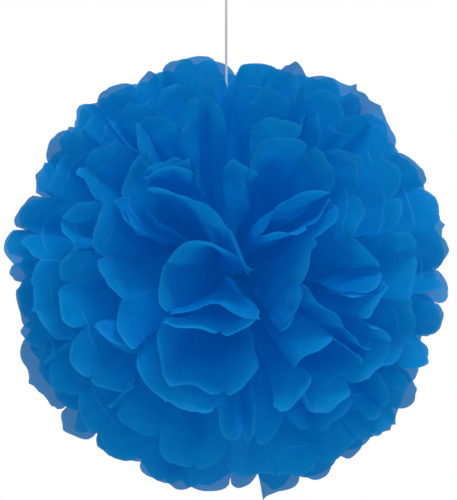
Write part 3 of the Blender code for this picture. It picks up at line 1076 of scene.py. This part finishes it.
def close_parting(grid, columns, rows, side):
    """Slide a half sheet's edges past the other half's, one of the two a little in front.

    They meet at the top, where the string goes down behind them, and low down near the tie.
    """
    from_neck = smooth_step(0.0, TOP_CLOSED_BY, rows)[:, None]
    top = (1.0 - smooth_step(0.0, 1.0, columns))[None, :] * from_neck
    inner = smooth_step(0.0, LOW_CLOSED_BY, rows) * (1.0 - smooth_step(*LOW_OPENS, rows))
    low = smooth_step(PANELS - 1.0, PANELS, columns)[None, :] * inner[:, None]
    shift = TOP_OVERLAP * top + LOW_OVERLAP * low
    grid[..., 0] -= side * shift
    if side > 0:
        grid[..., 2] += PARTING_LIFT * shift / TOP_OVERLAP


def half_sheet(stages, half, neck, side, notch, closes, rng):
    """Grid of points from the neck to the cut tips, with the distance out along the paper."""
    columns = np.linspace(0.0, PANELS, PANELS * PANEL_COLUMNS + 1)
    rows = np.linspace(0.0, 1.0, HALF_ROWS + 1)
    trims = np.random.default_rng(TRIM_SEED + half).uniform(0.0, TRIM_SHARE, PANELS)
    shares = rows[:, None] * cut_line(columns, trims, notch, rng)[None, :]
    curves = spread_across(stages, half, columns)
    way = between_stages(curves, shares)
    start = np.stack(
        [
            np.full(columns.shape, neck[0]),
            NECK_HEIGHT * (0.5 - columns / PANELS),
            np.full(columns.shape, neck[1]),
        ],
        -1,
    )
    reach = shares * (BALL_RADIUS - NECK_HEIGHT / 2)
    stretch = 1.0 + LEAN_SHARE * way[..., 0] - SAG_SHARE * way[..., 1]
    grid = start[None] + way * (reach * stretch)[..., None]
    along = np.gradient(grid, axis=1)
    outward = np.gradient(grid, axis=0)
    back = -side * np.cross(along, outward)
    back /= np.linalg.norm(back, axis=-1, keepdims=True) + 1e-12
    across = np.broadcast_to(columns / PANELS * SHEET_WIDTH, shares.shape)
    grid = grid + back * paper_lift(columns, rows, across, reach, rng)[..., None]
    if closes:
        close_parting(grid, columns, rows, side)
    return grid, reach


def sheet_points(stages, layer, facing, rng):
    """Both halves of a sheet in one grid, with the distance out from the tie along the paper."""
    widest = len(FRONT_FANS) - 1
    depth = NECK_STEP * (widest - layer + 0.5)
    notch = PARTING_NOTCH if facing > 0 else 0.0
    strips = []
    outs = []
    for side in (-1, 1):
        half = 2 * layer + (0 if side < 0 else 1)
        neck = (side * (NECK_HALF_LENGTH + NECK_STAGGER * layer), depth)
        grid, reach = half_sheet(stages, half, neck, side, notch, layer == widest, rng)
        strips.append(grid[::-1] if side < 0 else grid)
        outs.append(-reach[::-1] if side < 0 else reach)
    points = np.concatenate(strips)
    points[..., 2] *= facing
    return points, np.concatenate(outs)


def mark_points(mesh, name, values):
    """A value for every point of the sheet, read by its material."""
    mark = mesh.attributes.new(name, "FLOAT", "POINT")
    mark.data.foreach_set("value", values.astype(np.float32).ravel())


def add_sheet(name, node, stages, layer, facing, rng):
    """One sheet of tissue: both halves and the neck between them, as one thin mesh."""
    points, out = sheet_points(stages, layer, facing, rng)
    long, wide = out.shape
    first = np.arange(long - 1)[:, None] * wide + np.arange(wide - 1)[None, :]
    quads = np.stack([first, first + 1, first + 1 + wide, first + wide], -1).reshape(-1, 4)
    if facing < 0:
        quads = quads[:, ::-1]
    mesh = bpy.data.meshes.new(name)
    mesh.from_pydata(to_world(points.reshape(-1, 3)).tolist(), [], quads.tolist())
    mesh.polygons.foreach_set("use_smooth", np.ones(len(quads), bool))
    mesh.materials.append(PAPER)
    columns = np.linspace(0.0, SHEET_WIDTH, wide)
    across = np.broadcast_to(columns, (long, wide)).reshape(-1)
    flat = np.stack([across, out.reshape(-1)], -1)
    corner = np.empty(len(mesh.loops), np.int32)
    mesh.loops.foreach_get("vertex_index", corner)
    layer_uv = mesh.uv_layers.new(name="sheet")
    layer_uv.data.foreach_set("uv", flat[corner].astype(np.float32).ravel())
    # Share of the way out to the cut tip: the material paints a highlight along the edge there
    rows = np.abs(np.linspace(-1.0, 1.0, long))[:, None]
    edge = np.broadcast_to(smooth_step(CUT_EDGE_START, 1.0, rows), (long, wide))
    mark_points(mesh, "cut_edge", edge)
    tones = rng.uniform(0.0, 1.0, (2, PANELS + 1))
    place = np.linspace(0.0, PANELS, wide)
    tone = np.where(
        np.arange(long)[:, None] < long // 2,
        np.interp(place, np.arange(PANELS + 1), tones[0])[None, :],
        np.interp(place, np.arange(PANELS + 1), tones[1])[None, :],
    )
    mark_points(mesh, "petal_tone", tone)
    made = bpy.data.objects.new(name, mesh)
    bpy.context.scene.collection.objects.link(made)
    settle(made, "blue_tissue_paper", node)


def add_sheets(word, fans, seed, facing):
    """The five sheets that open to one side, from the innermost to the widest."""
    stages = ruffle(fans, seed)
    for layer in range(len(fans)):
        rng = np.random.default_rng([LOOKS_SEED, 0 if facing > 0 else 1, layer])
        node = f"tissue_sheet_{word}_{layer + 1}"
        add_sheet(f"tissue_{word}_{layer + 1}_thin", node, stages, layer, facing, rng)


add_sheets("front", FRONT_FANS, FRONT_SEED, 1)
add_sheets("back", BACK_FANS, BACK_SEED, -1)


# Studio: pale floor, white surroundings and large soft lights

def add_light(name, spot, size, power):
    """A round soft light that points at the middle of the view."""
    lamp = bpy.data.lights.new(name, "AREA")
    lamp.shape = "DISK"
    lamp.size = size
    lamp.energy = power
    made = bpy.data.objects.new(name, lamp)
    bpy.context.scene.collection.objects.link(made)
    made.location = spot
    aim = Vector(VIEW_MIDDLE) - Vector(spot)
    made.rotation_euler = aim.to_track_quat("-Z", "Y").to_euler()


def add_sky():
    """Surroundings that look white in the picture and light the ball softly from above."""
    sky = bpy.data.worlds.new("white_studio")
    sky.use_nodes = True
    tree = sky.node_tree
    back = tree.nodes["Background"]
    back.inputs["Color"].default_value = (1.0, 1.0, 1.0, 1.0)
    seen = tree.nodes.new("ShaderNodeLightPath").outputs["Is Camera Ray"]
    way = tree.nodes.new("ShaderNodeTexCoord").outputs["Generated"]
    split = tree.nodes.new("ShaderNodeSeparateXYZ")
    tree.links.new(way, split.inputs[0])
    dome = range_node(tree, split.outputs["Z"], DOME_FOOT, DOME_TOP, SKY_BELOW, SKY_ABOVE)
    white = math_node(tree, "MAXIMUM", dome, seen)
    tree.links.new(white, back.inputs["Strength"])
    bpy.context.scene.world = sky


def add_floor():
    mesh = bpy.data.meshes.new("studio_floor")
    reach = FLOOR_SIZE / 2
    corners = [(-reach, -reach), (reach, -reach), (reach, reach), (-reach, reach)]
    mesh.from_pydata([(x, y, FLOOR_HEIGHT) for x, y in corners], [], [(0, 1, 2, 3)])
    mesh.materials.append(pale_floor())
    floor = bpy.data.objects.new("studio_floor", mesh)
    bpy.context.scene.collection.objects.link(floor)


add_sky()
bpy.context.scene.view_settings.view_transform = "Standard"
for light in LIGHTS:
    add_light(*light)
add_floor()
